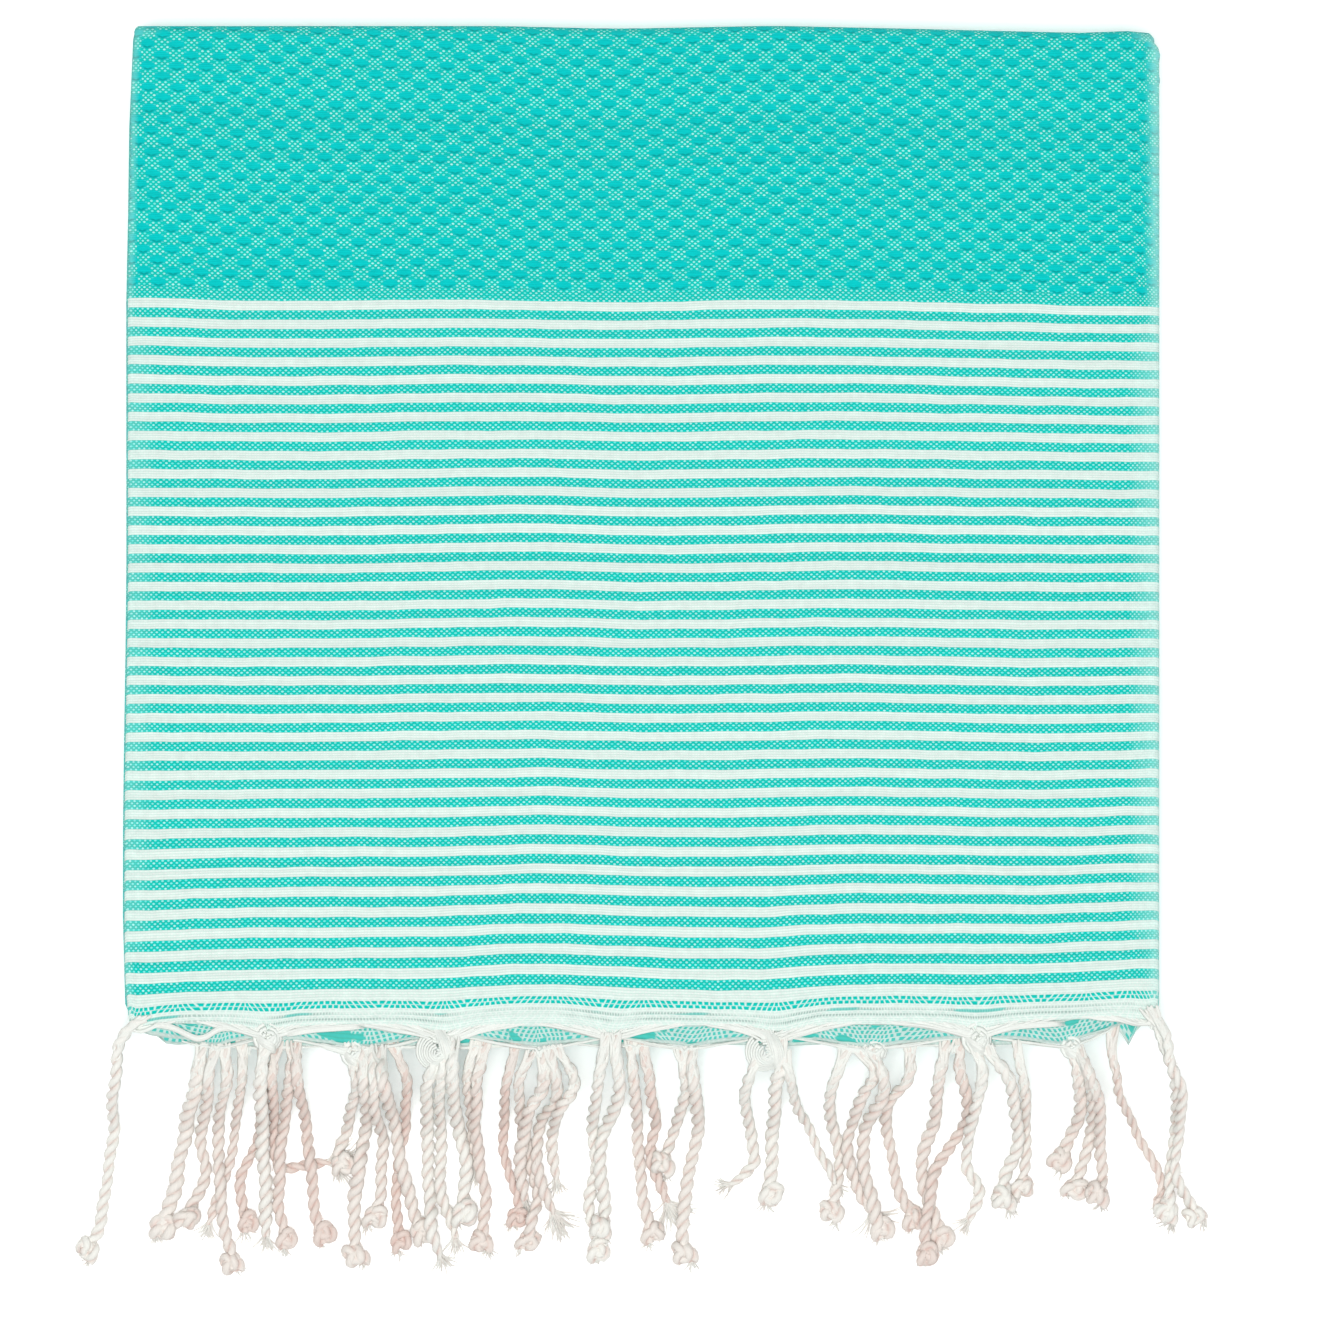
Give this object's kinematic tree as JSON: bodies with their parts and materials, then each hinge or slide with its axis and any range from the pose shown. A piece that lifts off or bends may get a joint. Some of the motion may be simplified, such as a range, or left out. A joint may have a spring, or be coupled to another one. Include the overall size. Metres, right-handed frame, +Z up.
{
  "type": "folded hammam towel",
  "caption": "Cotton hammam towel with a honeycomb field, narrow stripes and knotted cord fringe, folded into a flat stack.",
  "frame": {"origin": "on the surface that the towel lies on, under the middle of the folded stack, on the flat underside of the lowest layer", "axes": "+Z up, +Y from the hem that shows towards the folded back edge, +X to the right as seen from above with the fringe towards the viewer"},
  "size_m": [0.357, 0.4037, 0.03],
  "materials": {
    "woven_cotton": "woven cotton in turquoise and white: plain weave stripes and honeycomb floats",
    "twisted_cotton": "undyed twisted cotton cord"
  },
  "bodies": {
    "root": {"towel_cloth": "woven_cotton", "fringe_face": "twisted_cotton", "fringe_middle": "twisted_cotton", "fringe_under": "twisted_cotton", "fringe_hidden_face": "twisted_cotton", "fringe_hidden_middle": "twisted_cotton", "fringe_hidden_under": "twisted_cotton"}
  },
  "joints": []
}
